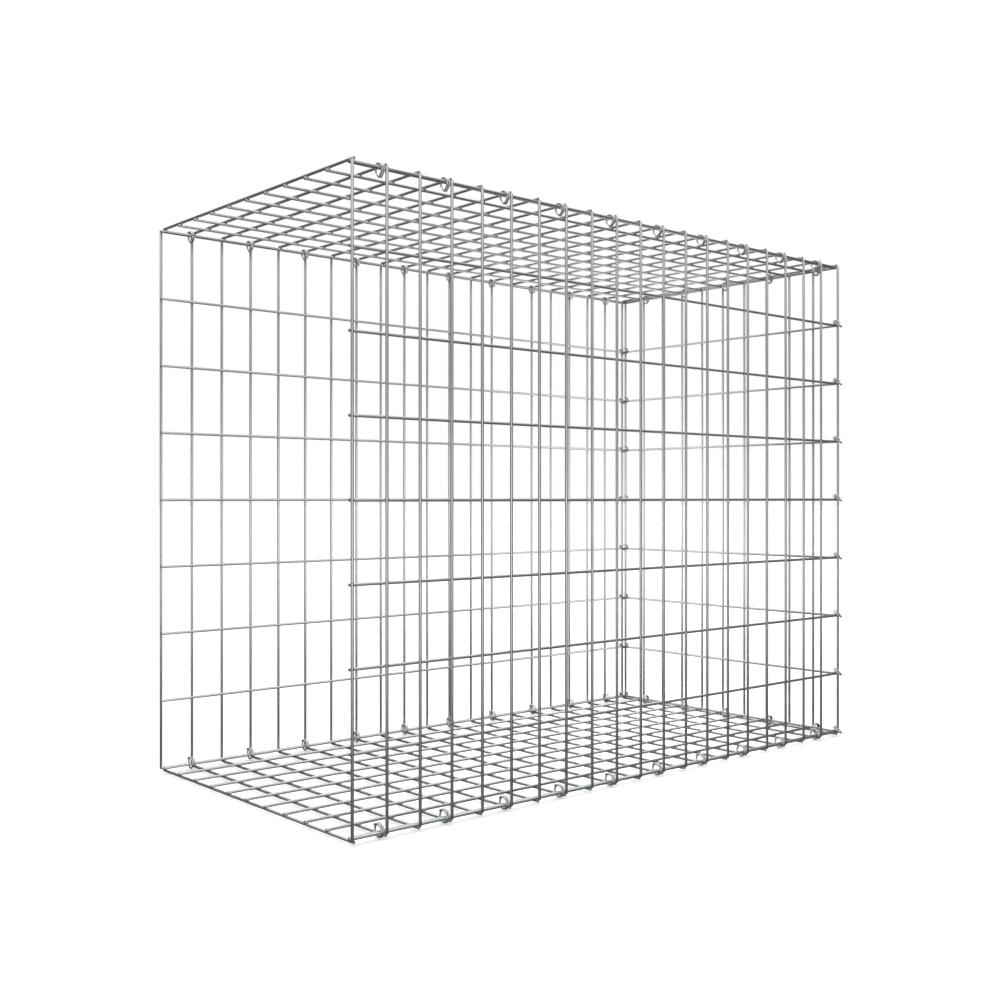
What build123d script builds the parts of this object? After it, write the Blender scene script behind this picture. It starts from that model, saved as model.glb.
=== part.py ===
"""Gabion basket, an empty extension unit of welded wire mesh, open at one end.

Five flat mesh panels (front, back, closed end, lid and base) are held together along
their edges by helical wire rings. Millimetres, +Z up, front towards -Y, closed end
towards +X. The origin is on the ground, under the middle of the whole basket.
"""

import os
from itertools import pairwise
from math import cos, radians, sin, sqrt

from build123d import (
    Axis,
    Compound,
    Face,
    Part,
    Plane,
    Pos,
    RegularPolygon,
    Shell,
    Solid,
    Vector,
    Wire,
    export_step,
    extrude,
)

# Driving dimensions of the basket, between the centre lines of the wires at its edges.
BASKET_LENGTH = 1000.0
BASKET_DEPTH = 500.0
BASKET_HEIGHT = 800.0

# The mesh: upright wires and lid wires stand close, the side panels' rails wide apart.
MESH_ACROSS = 50.0
MESH_UP = 100.0
WIRE_DIAMETER = 4.0
WIRE_SIDES = 8

# The rings that lace the panels together, and how far each stands beside its upright.
RING_WIRE = 2.5
RING_OUTER_DIAMETER = 18.0
RING_TURNS = 1.25
RING_SIDES_PER_TURN = 8
RING_COIL_GAP = 0.3
RING_CLEARANCE = 0.25
EDGE_RING_STEP = 5.5
END_RING_STEP = 10.0
CORNER_RING_TILT = 30.0
RINGS_PER_NODE = 2

# How each wire layer stacks on the next, all worked out from the wire.
HALF_WIRE = WIRE_DIAMETER / 2
COLUMNS = round(BASKET_LENGTH / MESH_ACROSS)
LEVELS = round(BASKET_HEIGHT / MESH_UP)
LANES = round(BASKET_DEPTH / MESH_ACROSS)
COLUMN_PITCH = BASKET_LENGTH / COLUMNS
LEVEL_PITCH = BASKET_HEIGHT / LEVELS
LANE_PITCH = BASKET_DEPTH / LANES

# Side panels: upright wires outside, rails inside, with the lid's and base's edge wires
# lying against the rails.
RAIL_Y = BASKET_DEPTH / 2
UPRIGHT_Y = RAIL_Y + WIRE_DIAMETER
EDGE_WIRE_Y = RAIL_Y - WIRE_DIAMETER
# The other panels' long wires are cut off at the middle of their last wire across, and the
# end panel's rails shut them off, with its upright wires outside.
OPEN_X = -BASKET_LENGTH / 2
CLOSED_X = BASKET_LENGTH / 2
END_RAIL_X = CLOSED_X + HALF_WIRE
END_UPRIGHT_X = END_RAIL_X + WIRE_DIAMETER
# Heights: the base stands on the rings under it, with its cross wires below its long wires.
BASE_Z = RING_WIRE + RING_CLEARANCE
BOTTOM_Z = BASE_Z + 1.5 * WIRE_DIAMETER
TOP_Z = BOTTOM_Z + BASKET_HEIGHT
LID_Z = TOP_Z + 1.5 * WIRE_DIAMETER

# Rings: every second upright has one, and each leans inwards until its wire is seated.
RING_RADIUS = RING_OUTER_DIAMETER / 2
RING_BORE = RING_RADIUS - RING_WIRE
RING_ROOM = RING_BORE - RING_CLEARANCE
COIL_RISE = RING_TURNS * (RING_WIRE + RING_COIL_GAP)


def wire(start: tuple[float, float, float], end: tuple[float, float, float]) -> Solid:
    """One straight mesh wire as a bar with its flats facing along the other axes."""
    run = Vector(*end) - Vector(*start)
    across = Vector(0, 1, 0) if abs(run.Y) < abs(run.length) / 2 else Vector(1, 0, 0)
    plane = Plane(origin=start, x_dir=across, z_dir=run)
    section = RegularPolygon(
        HALF_WIRE, WIRE_SIDES, major_radius=False, rotation=180 / WIRE_SIDES
    )
    return extrude(plane * section, run.length)


def weld(wires: list[Solid]) -> Part:
    """Fuse the wires of one panel where they touch."""
    return wires[0].fuse(*wires[1:])


def side_panel(side: int) -> Part:
    """The front (side -1) or back (side 1) panel."""
    upright_y = side * UPRIGHT_Y
    rail_y = side * RAIL_Y
    wires = []
    for column in range(COLUMNS + 1):
        x = OPEN_X + column * COLUMN_PITCH
        foot = (x, upright_y, BOTTOM_Z - HALF_WIRE)
        wires.append(wire(foot, (x, upright_y, TOP_Z + HALF_WIRE)))
    for level in range(LEVELS + 1):
        z = BOTTOM_Z + level * LEVEL_PITCH
        tip = (OPEN_X - HALF_WIRE, rail_y, z)
        wires.append(wire(tip, (CLOSED_X, rail_y, z)))
    return weld(wires)


def end_panel() -> Part:
    """The closed end, whose rails reach across the ends of the side panels' rails."""
    wires = []
    for lane in range(LANES + 1):
        y = -RAIL_Y + lane * LANE_PITCH
        foot = (END_UPRIGHT_X, y, BOTTOM_Z - HALF_WIRE)
        wires.append(wire(foot, (END_UPRIGHT_X, y, TOP_Z + HALF_WIRE)))
    for level in range(LEVELS + 1):
        z = BOTTOM_Z + level * LEVEL_PITCH
        reach = RAIL_Y + HALF_WIRE
        wires.append(wire((END_RAIL_X, -reach, z), (END_RAIL_X, reach, z)))
    return weld(wires)


def flat_panel(cross_z: float, long_z: float) -> Part:
    """The lid or the base: cross wires outside at cross_z, long wires inside at long_z.
    The first cross wire lies inwards of the side panels' first upright wires."""
    wires = []
    reach = RAIL_Y + HALF_WIRE
    for column in range(COLUMNS + 1):
        x = OPEN_X + max(column * COLUMN_PITCH, WIRE_DIAMETER)
        wires.append(wire((x, -reach, cross_z), (x, reach, cross_z)))
    for lane in range(LANES + 1):
        y = EDGE_WIRE_Y * (2 * lane / LANES - 1)
        wires.append(wire((OPEN_X, y, long_z), (CLOSED_X, y, long_z)))
    return weld(wires)


def coil() -> Solid:
    """One closed ring about the Z axis: a square wire in short straight runs, so that
    the clear opening across its flats is the real ring's inner diameter."""
    step = 360 / RING_SIDES_PER_TURN
    runs = round(RING_TURNS * RING_SIDES_PER_TURN)
    inner, outer = (radius / cos(radians(step / 2)) for radius in (RING_BORE, RING_RADIUS))
    stations = []
    for run in range(runs + 1):
        ray = Vector(1, 0, 0).rotate(Axis.Z, (run + 0.5) * step)
        high = Vector(0, 0, COIL_RISE * (run / runs - 0.5) + RING_WIRE / 2)
        low = high - Vector(0, 0, RING_WIRE)
        stations.append((ray * inner + low, ray * outer + low, ray * outer + high, ray * inner + high))
    outlines = [stations[0], stations[-1]]
    for start, end in pairwise(stations):
        for one, other in ((0, 1), (1, 2), (2, 3), (3, 0)):
            side = (start[one], start[other], end[other], end[one])
            # The sides that face along the axis are twisted, so each is two triangles.
            twisted = one % 2 == 0
            outlines += [side[:3], (side[0], *side[2:])] if twisted else [side]
    return Solid(Shell([Face(Wire.make_polygon(outline)) for outline in outlines]))


def lean(drop: float) -> float:
    """How far inwards a ring leans on a pair of wires that lie side by side, when its
    centre is this far above or below them."""
    against_side = RING_ROOM - WIRE_DIAMETER
    against_shoulder = sqrt(2) * (RING_ROOM - HALF_WIRE) - HALF_WIRE - abs(drop)
    return min(against_side, against_shoulder)


def edge_rings(side: int, ring_z: float, wires_z: float) -> list[Plane]:
    """Places along the lid's or base's edge on the front (side -1) or back (side 1)."""
    pair_y = RAIL_Y - HALF_WIRE
    y = side * (pair_y - lean(ring_z - wires_z))
    columns = range(1, COLUMNS, 2)
    xs = [OPEN_X + column * COLUMN_PITCH - EDGE_RING_STEP for column in columns]
    return [Plane((x, y, ring_z), x_dir=(0, 0, 1), z_dir=(1, 0, 0)) for x in xs]


def end_rings(ring_z: float) -> list[Plane]:
    """Places along the lid's or base's edge at the closed end, round its last cross wire
    and the rail beside it."""
    ys = [-RAIL_Y + lane * LANE_PITCH - END_RING_STEP for lane in range(1, LANES, 2)]
    return [Plane((CLOSED_X, y, ring_z), x_dir=(0, 0, 1), z_dir=(0, 1, 0)) for y in ys]


def corner_rings(side: int) -> list[Plane]:
    """Places up the closed end's front (side -1) or back (side 1) corner: at each level
    but the top one a ring lies on both rails and hangs down outside the two uprights."""
    tilt = radians(CORNER_RING_TILT)
    side_upright = Vector(CLOSED_X, side * UPRIGHT_Y)
    end_upright = Vector(END_UPRIGHT_X, side * RAIL_Y)
    middle, pair = (side_upright + end_upright) / 2, end_upright - side_upright
    outwards = pair.rotate(Axis.Z, side * 90).normalized()
    axis = outwards * sin(tilt) + Vector(0, 0, cos(tilt))
    # The ring first passes over a rail this far inwards of its centre.
    inwards = RING_BORE / sqrt(1 + 1 / cos(tilt) ** 2)
    underside = (inwards * sin(tilt) - (COIL_RISE + RING_WIRE) / 2) / cos(tilt)
    lift = HALF_WIRE + RING_CLEARANCE - underside
    zs = [BOTTOM_Z + level * LEVEL_PITCH + lift for level in range(LEVELS)]
    return [Plane(middle + Vector(0, 0, z), x_dir=pair, z_dir=axis) for z in zs]


def ring_nodes(name: str, places: list[Plane], per_node: int) -> dict[str, Compound]:
    """Share the rings at these places out over numbered nodes, a few neighbours to each."""
    ring = coil()
    rings = [place * ring for place in places]
    firsts = range(0, len(rings), per_node)
    return {
        f"{name}_{number}": Compound(rings[first : first + per_node])
        for number, first in enumerate(firsts, 1)
    }


def main() -> None:
    """Build every node and write its STEP file."""
    lid_ring_z = LID_Z - RING_RADIUS
    lid_end_ring_z = LID_Z + BASE_Z - RING_RADIUS
    nodes = {
        "front_panel": side_panel(-1),
        "back_panel": side_panel(1),
        "end_panel": end_panel(),
        "lid_panel": flat_panel(LID_Z - HALF_WIRE, TOP_Z),
        "base_panel": flat_panel(BASE_Z + HALF_WIRE, BOTTOM_Z),
        **ring_nodes("lid_front_rings", edge_rings(-1, lid_ring_z, TOP_Z), RINGS_PER_NODE),
        **ring_nodes("lid_back_rings", edge_rings(1, lid_ring_z, TOP_Z), RINGS_PER_NODE),
        **ring_nodes("lid_end_ring", end_rings(lid_end_ring_z), 1),
        **ring_nodes("base_front_rings", edge_rings(-1, RING_RADIUS, BOTTOM_Z), RINGS_PER_NODE),
        **ring_nodes("base_back_rings", edge_rings(1, RING_RADIUS, BOTTOM_Z), RINGS_PER_NODE),
        **ring_nodes("base_end_ring", end_rings(RING_RADIUS), 1),
        **ring_nodes("front_corner_rings", corner_rings(-1), RINGS_PER_NODE),
        **ring_nodes("back_corner_rings", corner_rings(1), RINGS_PER_NODE),
    }
    # The origin is on the ground under the middle of the whole basket, tips and rings too.
    middle = Compound(list(nodes.values())).bounding_box().center()
    os.makedirs("parts", exist_ok=True)
    for name, node in nodes.items():
        export_step(Pos(-middle.X, -middle.Y, 0) * node, f"parts/{name}.step")


if __name__ == "__main__":
    main()
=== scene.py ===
"""Looks of the empty gabion basket: round galvanised wires, their welds and the lacing rings.

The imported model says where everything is. This script stands round wires and coiled rings in
the places of its eight-sided ones, dresses them in zinc, and sets up the floor, the light and
the camera. Lengths are in metres, with +Z up, the front panel towards -Y and the closed end
towards +X.
"""

import logging
import math
from dataclasses import dataclass, field
from enum import Enum

import bmesh
import bpy
from mathutils import Matrix, Vector


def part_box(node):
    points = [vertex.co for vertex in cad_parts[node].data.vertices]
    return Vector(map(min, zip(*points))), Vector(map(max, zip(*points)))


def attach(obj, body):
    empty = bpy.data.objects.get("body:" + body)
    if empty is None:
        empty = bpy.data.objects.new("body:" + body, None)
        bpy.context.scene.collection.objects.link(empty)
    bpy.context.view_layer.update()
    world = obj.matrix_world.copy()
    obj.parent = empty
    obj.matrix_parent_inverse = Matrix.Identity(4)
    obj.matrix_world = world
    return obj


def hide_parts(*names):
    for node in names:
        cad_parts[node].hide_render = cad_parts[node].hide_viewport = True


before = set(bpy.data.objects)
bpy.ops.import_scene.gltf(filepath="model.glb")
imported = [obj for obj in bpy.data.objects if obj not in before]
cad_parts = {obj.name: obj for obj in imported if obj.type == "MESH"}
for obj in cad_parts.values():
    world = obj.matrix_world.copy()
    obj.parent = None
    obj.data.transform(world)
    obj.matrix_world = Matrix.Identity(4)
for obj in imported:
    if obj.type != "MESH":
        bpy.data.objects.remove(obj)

log = logging.getLogger("gabion_basket")

BODY = "root"
WHITE = (1.0, 1.0, 1.0, 1.0)

Triple = tuple[float, float, float]


class Axis(Enum):
    """A direction that wires run in or are stacked in."""

    X = (1.0, 0.0, 0.0)
    Y = (0.0, 1.0, 0.0)
    Z = (0.0, 0.0, 1.0)

    @property
    def vector(self) -> Vector:
        """The direction as a unit vector."""
        return Vector(self.value)


class RingShape(Enum):
    """How a lacing ring was closed: pulled to a point underneath, or left round."""

    POINTED = "pointed"
    ROUND = "round"


def spaced(first: float, last: float, count: int) -> list[float]:
    """Places spread evenly between two values.

    Args:
        first: The first place.
        last: The last place.
        count: How many places, both ends included.

    Returns:
        The places in order.
    """
    return [first + (last - first) * index / (count - 1) for index in range(count)]


def point(*parts: tuple[Axis, float]) -> Vector:
    """The point that lies so far along each of the named directions."""
    return sum((axis.vector * distance for axis, distance in parts), Vector((0.0, 0.0, 0.0)))


def placed(origin: Vector, across: Vector, along: Vector) -> Matrix:
    """A matrix that sets a ring, made about the Z axis, in its place.

    Args:
        origin: Where the ring's centre goes.
        across: The direction that the ring's own X axis takes.
        along: The direction that the ring's own Z axis takes.

    Returns:
        The matrix.
    """
    z = along.normalized()
    x = (across - z * across.dot(z)).normalized()
    turn = Matrix((x, z.cross(x), z)).transposed().to_4x4()
    return Matrix.Translation(origin) @ turn


def grey(level: float) -> Triple:
    """A colour without any tint."""
    return (level, level, level)


def add_node(
    nodes: bpy.types.Nodes, kind: str, values: dict[str, float | tuple[float, ...]]
) -> bpy.types.Node:
    """Add a node with some of its inputs set.

    Args:
        nodes: The nodes of a material or of the world.
        kind: The node's type.
        values: What each of those inputs is set to.

    Returns:
        The new node.
    """
    node = nodes.new(kind)
    for name, value in values.items():
        node.inputs[name].default_value = value
    return node


def set_ramp(ramp: bpy.types.ColorRamp, stops: list[tuple[float, Triple]]) -> None:
    """Give a new colour ramp, which has two stops, all that it needs.

    Args:
        ramp: The ramp.
        stops: The place and the colour of each stop, in order.
    """
    for _ in stops[2:]:
        ramp.elements.new(0.5)
    for element, (place, colour) in zip(ramp.elements, stops, strict=True):
        element.position = place
        element.color = (*colour, 1.0)


@dataclass(frozen=True)
class ZincFinish:
    """Hot-dip galvanised steel: dull zinc with a faint spangle, clouded and slightly lumpy.

    The clouds and the spangle together run from the dark tint to the light one over the tint
    span, and the clouds alone run from smooth to rough over the sheen span.
    """

    name: str
    slot: str
    light: Triple = (0.46, 0.47, 0.53)
    dark: Triple = (0.15, 0.155, 0.19)
    tint_span: tuple[float, float] = (0.38, 0.62)
    metallic: float = 0.75
    smooth: float = 0.18
    rough: float = 0.34
    sheen_span: tuple[float, float] = (0.3, 0.7)
    cloud_scale: float = 55.0
    cloud_detail: float = 4.0
    spangle_scale: float = 420.0
    spangle_share: float = 0.5
    grain_scale: float = 1500.0
    grain_detail: float = 2.0
    bump: float = 0.3
    bump_height: float = 0.0002

    def material(self) -> bpy.types.Material:
        """Make the finish as a node material.

        Returns:
            The material, named after the finish.
        """
        material = bpy.data.materials.new(self.name)
        material.use_nodes = True
        nodes, links = material.node_tree.nodes, material.node_tree.links
        shader = nodes["Principled BSDF"]
        shader.inputs["Metallic"].default_value = self.metallic

        clouds = add_node(
            nodes,
            "ShaderNodeTexNoise",
            {"Scale": self.cloud_scale, "Detail": self.cloud_detail},
        )
        spangle = add_node(nodes, "ShaderNodeTexVoronoi", {"Scale": self.spangle_scale})
        grain = add_node(
            nodes,
            "ShaderNodeTexNoise",
            {"Scale": self.grain_scale, "Detail": self.grain_detail},
        )
        place = nodes.new("ShaderNodeTexCoord")
        for texture in (clouds, spangle, grain):
            links.new(place.outputs["Object"], texture.inputs["Vector"])

        mottle = add_node(nodes, "ShaderNodeMix", {"Factor": self.spangle_share})
        links.new(clouds.outputs["Fac"], mottle.inputs["A"])
        links.new(spangle.outputs["Color"], mottle.inputs["B"])
        tint = nodes.new("ShaderNodeValToRGB")
        set_ramp(tint.color_ramp, list(zip(self.tint_span, (self.dark, self.light), strict=True)))
        links.new(mottle.outputs["Result"], tint.inputs["Fac"])
        links.new(tint.outputs["Color"], shader.inputs["Base Color"])

        low, high = self.sheen_span
        span = {"From Min": low, "From Max": high, "To Min": self.smooth, "To Max": self.rough}
        sheen = add_node(nodes, "ShaderNodeMapRange", span)
        links.new(clouds.outputs["Fac"], sheen.inputs["Value"])
        links.new(sheen.outputs["Result"], shader.inputs["Roughness"])

        relief = {"Strength": self.bump, "Distance": self.bump_height}
        lumps = add_node(nodes, "ShaderNodeBump", relief)
        links.new(grain.outputs["Fac"], lumps.inputs["Height"])
        links.new(lumps.outputs["Normal"], shader.inputs["Normal"])
        return material


@dataclass
class Piece:
    """A finished mesh of the basket, stamped together from shapes and handed to the frame."""

    name: str
    nodes: list[str]
    finishes: tuple[ZincFinish, ...]
    bm: bmesh.types.BMesh = field(default_factory=bmesh.new)

    def stamp(self, shape: bpy.types.Mesh, place: Matrix) -> None:
        """Add a copy of a shape.

        Args:
            shape: The shape, made about the origin.
            place: The matrix that takes it to its place.
        """
        copy = shape.copy()
        copy.transform(place)
        self.bm.from_mesh(copy)
        bpy.data.meshes.remove(copy)

    def finish(self) -> bpy.types.Object:
        """Turn the stamped shapes into one object that rides on the frame.

        Returns:
            The new object, which stands for its CAD nodes.
        """
        mesh = bpy.data.meshes.new(self.name)
        self.bm.to_mesh(mesh)
        self.bm.free()
        for finish in self.finishes:
            found = bpy.data.materials.get(finish.name)
            mesh.materials.append(found or finish.material())
        piece = bpy.data.objects.new(self.name, mesh)
        bpy.context.scene.collection.objects.link(piece)
        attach(piece, BODY)
        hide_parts(*self.nodes)
        log.info("%s: %d faces for %d nodes", self.name, len(mesh.polygons), len(self.nodes))
        return piece


def as_shape(bm: bmesh.types.BMesh, name: str, crisp: float = 50.0) -> bpy.types.Mesh:
    """Keep a bmesh as a smooth mesh that can be stamped.

    Args:
        bm: The shape, which is freed.
        name: The mesh's name.
        crisp: The angle in degrees past which an edge stays crisp.

    Returns:
        The mesh, with its faces turned outwards.
    """
    bmesh.ops.recalc_face_normals(bm, faces=bm.faces)
    mesh = bpy.data.meshes.new(name)
    bm.to_mesh(mesh)
    bm.free()
    mesh.shade_smooth()
    mesh.set_sharp_from_angle(angle=math.radians(crisp))
    return mesh


@dataclass(frozen=True)
class WireStock:
    """The round mesh wire, sheared to length, and the little welds where two wires cross."""

    diameter: float = 0.004
    sides: int = 16
    burr: float = 0.0003
    weld_reach: float = 0.0021
    weld_height: float = 0.0011
    weld_segments: int = 8
    weld_rings: int = 5

    @property
    def radius(self) -> float:
        """Half the wire's diameter."""
        return self.diameter / 2

    def wire(self, length: float, runs: Axis) -> bpy.types.Mesh:
        """A straight wire about the origin, with its rims broken.

        Args:
            length: Its length.
            runs: The direction that it runs in.

        Returns:
            The shape.
        """
        bm = bmesh.new()
        bmesh.ops.create_cone(
            bm,
            cap_ends=True,
            segments=self.sides,
            radius1=self.radius,
            radius2=self.radius,
            depth=length,
            matrix=runs.vector.to_track_quat("Z", "Y").to_matrix().to_4x4(),
        )
        rims = {edge for face in bm.faces if len(face.verts) == self.sides for edge in face.edges}
        bmesh.ops.bevel(
            bm,
            geom=list(rims),
            offset=self.burr,
            offset_type="OFFSET",
            segments=1,
            profile=0.5,
            affect="EDGES",
            material=-1,
        )
        return as_shape(bm, "wire")

    def weld(self, stacked: Axis) -> bpy.types.Mesh:
        """The flattened bead of metal between two crossing wires.

        Args:
            stacked: The direction in which one wire lies on the other.

        Returns:
            The shape, about the point where the wires touch, in the panel's second finish.
        """
        scale = [self.weld_height if part else self.weld_reach for part in stacked.value]
        bm = bmesh.new()
        bmesh.ops.create_uvsphere(
            bm,
            u_segments=self.weld_segments,
            v_segments=self.weld_rings,
            radius=1.0,
            matrix=Matrix.Diagonal((*scale, 1.0)),
        )
        for face in bm.faces:
            face.material_index = 1
        return as_shape(bm, "weld", crisp=180.0)


@dataclass(frozen=True)
class WireLayer:
    """Equal wires side by side in one plane of a panel.

    The plane lies at a level, each wire has its own place in it, and all of them reach from
    one place to another in the direction that they run in.
    """

    runs: Axis
    level: float
    at: list[float]
    reach: tuple[float, float]

    @property
    def length(self) -> float:
        """How long each wire is."""
        return self.reach[1] - self.reach[0]

    @property
    def middle(self) -> float:
        """The place of the wires' middles, in the direction that they run in."""
        return sum(self.reach) / 2


@dataclass(frozen=True)
class MeshPanel:
    """One flat panel of welded mesh: two layers of wires that cross at right angles."""

    name: str
    stock: WireStock
    finishes: tuple[ZincFinish, ZincFinish]
    stacked: Axis
    outer: WireLayer
    inner: WireLayer

    def build(self) -> bpy.types.Object:
        """Make the panel.

        Returns:
            The finished piece.
        """
        outer, inner = self.outer, self.inner
        piece = Piece(f"{self.name}_mesh", [self.name], self.finishes)
        for layer, other in ((outer, inner), (inner, outer)):
            wire = self.stock.wire(layer.length, layer.runs)
            for place in layer.at:
                middle = point(
                    (self.stacked, layer.level), (layer.runs, layer.middle), (other.runs, place)
                )
                piece.stamp(wire, Matrix.Translation(middle))
        touch = (outer.level + inner.level) / 2
        weld = self.stock.weld(self.stacked)
        for across in outer.at:
            for along in inner.at:
                crossing = point((self.stacked, touch), (outer.runs, along), (inner.runs, across))
                piece.stamp(weld, Matrix.Translation(crossing))
        return piece.finish()


@dataclass(frozen=True)
class LacingRing:
    """One spring-wire ring, coiled a little more than once round about its own Z axis."""

    outer_radius: float = 0.0093
    wire: float = 0.0025
    turns: float = 1.75
    pitch: float = 0.0031
    sides: int = 10
    steps_per_turn: int = 28
    first_angle: float = -45.0
    shape: RingShape = RingShape.ROUND
    pinch: float = 0.6

    @property
    def rise(self) -> float:
        """How far the wire climbs from one end of the ring to the other."""
        return self.turns * self.pitch

    @property
    def thickness(self) -> float:
        """How long the coil is along its axis."""
        return self.rise + self.wire

    def coil(self) -> bpy.types.Mesh:
        """Coil the ring about the Z axis.

        Returns:
            The shape.
        """
        bm = bmesh.new()
        steps = round(self.turns * self.steps_per_turn)
        start = Matrix.Rotation(math.radians(self.first_angle), 4, "Z") @ Matrix.Translation(
            (self.outer_radius - self.wire / 2, 0.0, -self.rise / 2)
        )
        bmesh.ops.create_circle(
            bm,
            cap_ends=True,
            radius=self.wire / 2,
            segments=self.sides,
            matrix=start @ Matrix.Rotation(math.pi / 2, 4, "X"),
        )
        bmesh.ops.spin(
            bm,
            geom=[*bm.verts, *bm.edges, *bm.faces],
            cent=(0.0, 0.0, 0.0),
            axis=Axis.Z.value,
            dvec=(0.0, 0.0, self.rise / steps),
            angle=self.turns * math.tau,
            steps=steps,
        )
        bmesh.ops.holes_fill(bm, edges=[edge for edge in bm.edges if edge.is_boundary], sides=0)
        if self.shape is RingShape.POINTED:
            self.point_down(bm)
        return as_shape(bm, "ring")

    def point_down(self, bm: bmesh.types.BMesh) -> None:
        """Draw the half of the ring towards -X in, as the closing jaws leave it.

        Args:
            bm: The coiled ring.
        """
        for vert in bm.verts:
            low = max(0.0, -vert.co.x / self.outer_radius)
            vert.co.y *= 1.0 - self.pinch * low


@dataclass(frozen=True)
class RingRow:
    """A row of lacing rings along one edge of the basket."""

    name: str
    nodes: list[str]
    ring: LacingRing
    places: list[Matrix]
    finish: ZincFinish

    def build(self) -> bpy.types.Object:
        """Make the whole row as one piece.

        Returns:
            The finished piece.
        """
        piece = Piece(self.name, self.nodes, (self.finish,))
        coil = self.ring.coil()
        for place in self.places:
            piece.stamp(coil, place)
        return piece.finish()


@dataclass
class Basket:
    """The basket: five mesh panels and the rows of rings that lace them together."""

    # How many wires a panel has: the uprights of a long side, the rails, and the wires that
    # run along the lid, which are as many as the uprights of the closed end.
    uprights: int = 21
    rails: int = 9
    lanes: int = 11
    stock: WireStock = WireStock()

    lid_front_ring: LacingRing = LacingRing(shape=RingShape.POINTED)
    lid_back_ring: LacingRing = LacingRing(shape=RingShape.POINTED, turns=1.5)
    base_front_ring: LacingRing = LacingRing()
    base_back_ring: LacingRing = LacingRing(turns=1.5)
    end_ring: LacingRing = LacingRing(outer_radius=0.009, turns=1.5)
    corner_ring: LacingRing = LacingRing(first_angle=20.0, turns=1.5, pitch=0.0034)

    # How thick a CAD ring is along its axis, how much nearer to its upright the round one
    # stands, how far the base's rings are pushed up, and how the corner rings lie on the rails.
    ring_thickness: float = 0.006
    ring_play: float = 0.0004
    base_ring_lift: float = 0.002
    corner_tilt: float = 38.0
    corner_lift: float = 0.003

    wire_finish: ZincFinish = ZincFinish("galvanised_wire", "galvanised_wire")
    weld_finish: ZincFinish = ZincFinish(
        "weld_bead",
        "galvanised_wire",
        light=(0.36, 0.37, 0.40),
        dark=(0.20, 0.21, 0.23),
        smooth=0.45,
        rough=0.6,
    )
    ring_finish: ZincFinish = ZincFinish(
        "ring_wire",
        "ring_wire",
        light=(0.50, 0.51, 0.57),
        dark=(0.29, 0.30, 0.34),
        smooth=0.2,
    )

    def __post_init__(self) -> None:
        """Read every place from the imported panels."""
        r = self.stock.radius
        front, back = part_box("front_panel"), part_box("back_panel")
        lid, base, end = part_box("lid_panel"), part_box("base_panel"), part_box("end_panel")
        self.xs = spaced(front[0].x + r, front[1].x - r, self.uprights)
        self.open_tip = front[0].x
        self.closed_x = self.xs[-1]
        self.zs = spaced(front[0].z + r, front[1].z - r, self.rails)
        self.upright_z = (front[0].z, front[1].z)
        self.front_upright_y, self.front_rail_y = front[0].y + r, front[1].y - r
        self.back_rail_y, self.back_upright_y = back[0].y + r, back[1].y - r
        self.long_ys = spaced(self.front_rail_y + 2 * r, self.back_rail_y - 2 * r, self.lanes)
        self.end_rail_x, self.end_upright_x = end[0].x + r, end[1].x - r
        self.end_ys = spaced(end[0].y + r, end[1].y - r, self.lanes)
        self.end_reach = (end[0].y, end[1].y)
        self.cross_xs = [self.xs[0] + 2 * r, *self.xs[1:]]
        self.cross_reach = (lid[0].y, lid[1].y)
        self.long_reach = (lid[0].x, self.closed_x)
        self.lid_long_z, self.lid_cross_z = lid[0].z + r, lid[1].z - r
        self.base_cross_z, self.base_long_z = base[0].z + r, base[1].z - r

    def panel(self, name: str, stacked: Axis, outer: WireLayer, inner: WireLayer) -> MeshPanel:
        """One panel of this basket's wire and finishes."""
        return MeshPanel(
            name, self.stock, (self.wire_finish, self.weld_finish), stacked, outer, inner
        )

    def side_panel(self, name: str, upright_y: float, rail_y: float) -> MeshPanel:
        """The front or back panel.

        Args:
            name: Its CAD node.
            upright_y: The place of its upright wires.
            rail_y: The place of its rails.

        Returns:
            The panel.
        """
        uprights = WireLayer(Axis.Z, upright_y, self.xs, self.upright_z)
        rails = WireLayer(Axis.X, rail_y, self.zs, (self.open_tip, self.closed_x))
        return self.panel(name, Axis.Y, uprights, rails)

    def end_panel(self) -> MeshPanel:
        """The closed end.

        Returns:
            The panel.
        """
        uprights = WireLayer(Axis.Z, self.end_upright_x, self.end_ys, self.upright_z)
        rails = WireLayer(Axis.Y, self.end_rail_x, self.zs, self.end_reach)
        return self.panel("end_panel", Axis.X, uprights, rails)

    def flat_panel(self, name: str, cross_z: float, long_z: float) -> MeshPanel:
        """The lid or the base.

        Args:
            name: Its CAD node.
            cross_z: The height of its cross wires.
            long_z: The height of the wires along it.

        Returns:
            The panel.
        """
        cross_wires = WireLayer(Axis.Y, cross_z, self.cross_xs, self.cross_reach)
        long_wires = WireLayer(Axis.X, long_z, self.long_ys, self.long_reach)
        return self.panel(name, Axis.Z, cross_wires, long_wires)

    def panels(self) -> list[MeshPanel]:
        """List the panels.

        Returns:
            The five of them.
        """
        return [
            self.side_panel("front_panel", self.front_upright_y, self.front_rail_y),
            self.side_panel("back_panel", self.back_upright_y, self.back_rail_y),
            self.end_panel(),
            self.flat_panel("lid_panel", self.lid_cross_z, self.lid_long_z),
            self.flat_panel("base_panel", self.base_cross_z, self.base_long_z),
        ]

    def nodes_named(self, start: str) -> list[str]:
        """The CAD nodes whose names begin so, in order."""
        return sorted(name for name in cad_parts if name.startswith(start))

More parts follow.
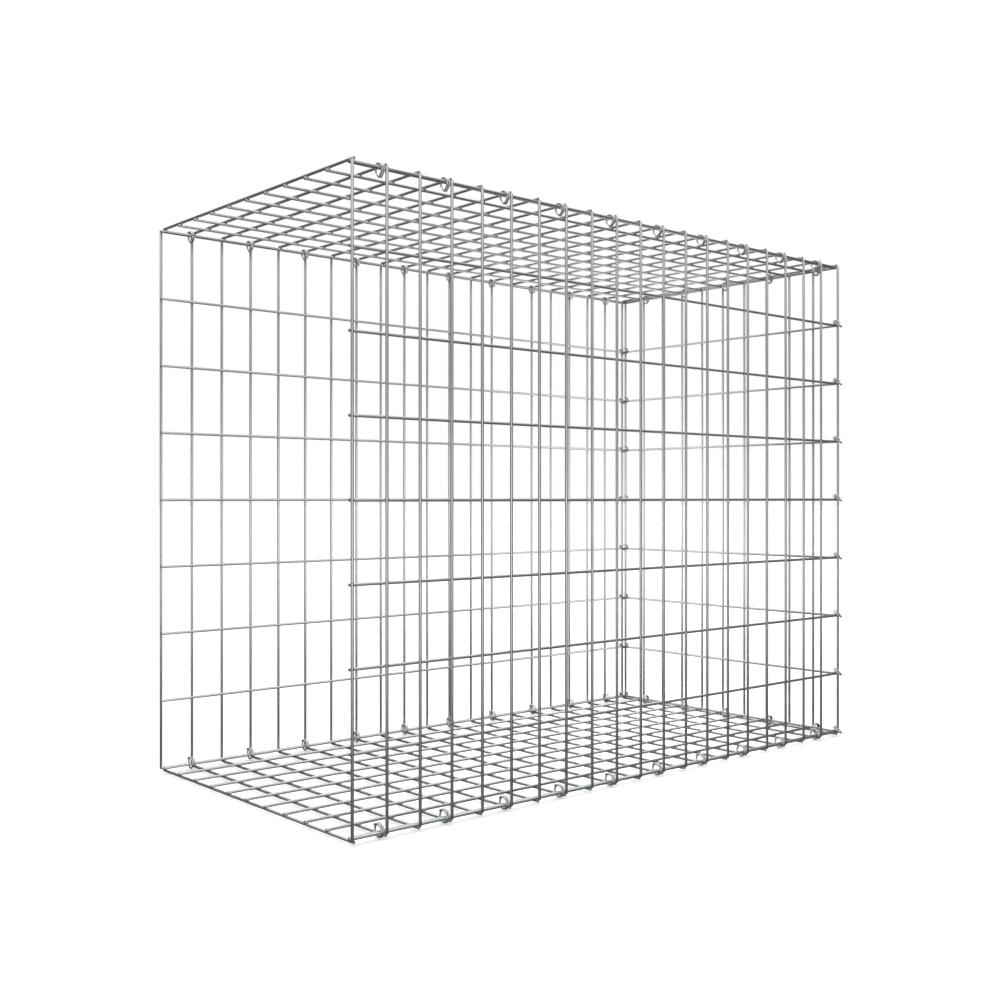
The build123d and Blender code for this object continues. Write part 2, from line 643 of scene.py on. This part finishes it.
    def edge_row(self, name: str, ring: LacingRing, lift: float = 0.0) -> RingRow:
        """The rings along a long edge, two to a CAD node.

        Args:
            name: How the row's CAD nodes begin.
            ring: The ring, whose coil stays against its upright.
            lift: How far the rings are pushed up.

        Returns:
            The row.
        """
        nodes = self.nodes_named(name)
        places = []
        for low, high in map(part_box, nodes):
            middle = (low + high) / 2
            for x in (low.x + self.ring_thickness, high.x):
                centre_x = x + self.ring_play - ring.thickness / 2
                centre = Vector((centre_x, middle.y, middle.z + lift))
                places.append(placed(centre, Axis.Z.vector, Axis.X.vector))
        return RingRow(f"{name}_row", nodes, ring, places, self.ring_finish)

    def end_row(self, name: str) -> RingRow:
        """The rings along the top or the bottom of the closed end, one to a CAD node.

        Args:
            name: How the row's CAD nodes begin.

        Returns:
            The row.
        """
        nodes = self.nodes_named(name)
        centres = [(low + high) / 2 for low, high in map(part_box, nodes)]
        places = [placed(centre, Axis.Z.vector, Axis.Y.vector) for centre in centres]
        return RingRow(f"{name}s_row", nodes, self.end_ring, places, self.ring_finish)

    def corner_row(self, name: str, upright_y: float, end_y: float) -> RingRow:
        """The rings that lie on the rails at a corner of the closed end, all but the top one.

        Args:
            name: How the row's CAD nodes begin.
            upright_y: The place of the side panel's last upright.
            end_y: The place of the end panel's upright next to it.

        Returns:
            The row.
        """
        side_upright = Vector((self.closed_x, upright_y, 0.0))
        end_upright = Vector((self.end_upright_x, end_y, 0.0))
        pair = end_upright - side_upright
        up = Axis.Z.vector
        outwards = pair.cross(up) * (1.0 if upright_y < end_y else -1.0)
        tilt = math.radians(self.corner_tilt)
        along = outwards.normalized() * math.sin(tilt) + up * math.cos(tilt)
        middle = (side_upright + end_upright) / 2
        places = [placed(middle + up * (z + self.corner_lift), pair, along) for z in self.zs[:-1]]
        nodes = self.nodes_named(name)
        return RingRow(f"{name}_row", nodes, self.corner_ring, places, self.ring_finish)

    def ring_rows(self) -> list[RingRow]:
        """List the rows of rings.

        Returns:
            The eight of them.
        """
        return [
            self.edge_row("lid_front_rings", self.lid_front_ring),
            self.edge_row("lid_back_rings", self.lid_back_ring),
            self.edge_row("base_front_rings", self.base_front_ring, self.base_ring_lift),
            self.edge_row("base_back_rings", self.base_back_ring, self.base_ring_lift),
            self.end_row("lid_end_ring"),
            self.end_row("base_end_ring"),
            self.corner_row("front_corner_rings", self.front_upright_y, self.end_ys[0]),
            self.corner_row("back_corner_rings", self.back_upright_y, self.end_ys[-1]),
        ]

    def build(self) -> None:
        """Make every panel and every row of rings."""
        for part in (*self.panels(), *self.ring_rows()):
            part.build()


@dataclass(frozen=True)
class Floor:
    """The pale floor, which is there for the camera and leaves the wires' light as it is."""

    size: float = 120.0
    shade: float = 0.86
    glow: float = 0.4

    def material(self) -> bpy.types.Material:
        """Make the floor's own finish.

        Returns:
            The material: dull, pale and faintly lit from within.
        """
        material = bpy.data.materials.new("pale_floor")
        material.use_nodes = True
        shader = material.node_tree.nodes["Principled BSDF"]
        shader.inputs["Base Color"].default_value = (*grey(self.shade), 1.0)
        shader.inputs["Roughness"].default_value = 1.0
        shader.inputs["Specular IOR Level"].default_value = 0.0
        shader.inputs["Emission Color"].default_value = WHITE
        shader.inputs["Emission Strength"].default_value = self.glow
        return material

    def lay(self) -> None:
        """Lay the floor so that it neither lights the wires, nor shades or shows in them."""
        bm = bmesh.new()
        bmesh.ops.create_grid(bm, x_segments=1, y_segments=1, size=self.size / 2)
        mesh = bpy.data.meshes.new("floor")
        bm.to_mesh(mesh)
        bm.free()
        mesh.materials.append(self.material())
        floor = bpy.data.objects.new("floor", mesh)
        bpy.context.scene.collection.objects.link(floor)
        floor.visible_diffuse = False
        floor.visible_glossy = False
        floor.visible_shadow = False


@dataclass(frozen=True)
class Sky:
    """The surroundings, plain white to the camera and in bands of light to the wires.

    Each band is a height, from 0 straight down to 1 straight up, and how bright it is there.
    The last one is the brightest.
    """

    bands: tuple[tuple[float, float], ...] = (
        (0.0, 0.02),
        (0.22, 0.02),
        (0.37, 0.24),
        (0.50, 0.09),
        (0.69, 0.09),
        (0.84, 0.9),
        (1.0, 2.0),
    )

    def light_up(self) -> None:
        """Make the world of the scene."""
        world = bpy.data.worlds.new("studio_white")
        bpy.context.scene.world = world
        world.use_nodes = True
        nodes, links = world.node_tree.nodes, world.node_tree.links
        light = nodes["Background"]
        brightest = self.bands[-1][1]
        light.inputs["Strength"].default_value = brightest

        place = nodes.new("ShaderNodeTexCoord")
        direction = nodes.new("ShaderNodeSeparateXYZ")
        height = add_node(nodes, "ShaderNodeMapRange", {"From Min": -1.0, "From Max": 1.0})
        glow = nodes.new("ShaderNodeValToRGB")
        set_ramp(glow.color_ramp, [(at, grey(band / brightest)) for at, band in self.bands])
        links.new(place.outputs["Generated"], direction.inputs["Vector"])
        links.new(direction.outputs["Z"], height.inputs["Value"])
        links.new(height.outputs["Result"], glow.inputs["Fac"])
        links.new(glow.outputs["Color"], light.inputs["Color"])

        white = add_node(nodes, "ShaderNodeBackground", {"Color": WHITE})
        seen = nodes.new("ShaderNodeLightPath")
        either = nodes.new("ShaderNodeMixShader")
        links.new(seen.outputs["Is Camera Ray"], either.inputs["Fac"])
        links.new(light.outputs["Background"], either.inputs[1])
        links.new(white.outputs["Background"], either.inputs[2])
        links.new(either.outputs["Shader"], nodes["World Output"].inputs["Surface"])


@dataclass(frozen=True)
class Softbox:
    """A flat light that the camera doesn't see, with its power in watts."""

    name: str
    at: Triple
    aim: Triple
    width: float
    height: float
    power: float
    spread: float = 180.0

    def hang(self) -> None:
        """Put the light where it shines, facing its aim."""
        lamp = bpy.data.lights.new(self.name, "AREA")
        lamp.shape = "RECTANGLE"
        lamp.size, lamp.size_y = self.width, self.height
        lamp.energy, lamp.spread = self.power, math.radians(self.spread)
        box = bpy.data.objects.new(self.name, lamp)
        box.visible_camera = False
        box.location = self.at
        facing = Vector(self.aim) - Vector(self.at)
        box.rotation_euler = facing.to_track_quat("-Z", "Y").to_euler()
        bpy.context.scene.collection.objects.link(box)


@dataclass(frozen=True)
class PhotoCamera:
    """The level camera at the photograph's place, with its lens and its small shift."""

    at: Triple = (-1.3005, -1.4370, 0.41037)
    heading: float = 41.116
    focal_pixels: float = 1202.42
    principal: tuple[float, float] = (504.215, 498.655)
    picture: float = 1000.0
    sensor: float = 36.0
    clip: tuple[float, float] = (0.05, 300.0)

    def set_up(self) -> None:
        """Make it the camera of the scene."""
        data = bpy.data.cameras.new("camera")
        data.sensor_width = self.sensor
        data.lens = self.focal_pixels / self.picture * self.sensor
        data.shift_x = 0.5 - self.principal[0] / self.picture
        data.shift_y = self.principal[1] / self.picture - 0.5
        data.clip_start, data.clip_end = self.clip
        camera = bpy.data.objects.new("camera", data)
        camera.location = self.at
        camera.rotation_euler = (math.pi / 2, 0.0, -math.radians(self.heading))
        bpy.context.scene.collection.objects.link(camera)
        bpy.context.scene.camera = camera


# The first softbox lights the basket from the camera's side and reaches below the floor. The
# others stand in the basket or just past its far panels, whose wires the photograph shows paler.
SOFTBOXES = (
    Softbox("front_softbox", (-2.6, -2.9, -0.3), (0.0, 0.0, -0.3), 1.4, 4.0, 78.0),
    Softbox("inner_softbox", (-0.03, -0.2, 0.4), (-0.03, 0.25, 0.4), 0.8, 0.75, 1.1, 150.0),
    Softbox("back_glow", (0.22, 0.235, 0.405), (0.22, 0.0, 0.405), 0.56, 0.78, 1.2),
    Softbox("end_glow", (0.485, 0.06, 0.405), (0.0, 0.06, 0.405), 0.38, 0.78, 1.0),
    Softbox("beyond_back", (0.25, 0.55, 0.4), (0.25, 0.25, 0.4), 0.7, 0.78, 0.5),
    Softbox("beyond_end", (0.8, 0.2, 0.4), (0.5, 0.2, 0.4), 0.4, 0.78, 0.6),
    Softbox("end_softbox", (0.15, 0.06, 0.4), (0.5, 0.08, 0.4), 0.3, 0.7, 0.3, 50.0),
)


@dataclass(frozen=True)
class Studio:
    """The stage round the basket: floor, sky, softboxes and camera."""

    floor: Floor = Floor()
    sky: Sky = Sky()
    softboxes: tuple[Softbox, ...] = SOFTBOXES
    camera: PhotoCamera = PhotoCamera()

    def build(self) -> None:
        """Set the whole stage."""
        self.floor.lay()
        self.sky.light_up()
        for softbox in self.softboxes:
            softbox.hang()
        self.camera.set_up()
        bpy.context.scene.view_settings.view_transform = "Standard"
        log.info("stage set")


def main() -> None:
    """Build the basket and its stage."""
    logging.basicConfig(level=logging.INFO, format="%(name)s: %(message)s")
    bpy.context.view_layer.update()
    Basket().build()
    Studio().build()


if __name__ == "__main__":
    main()
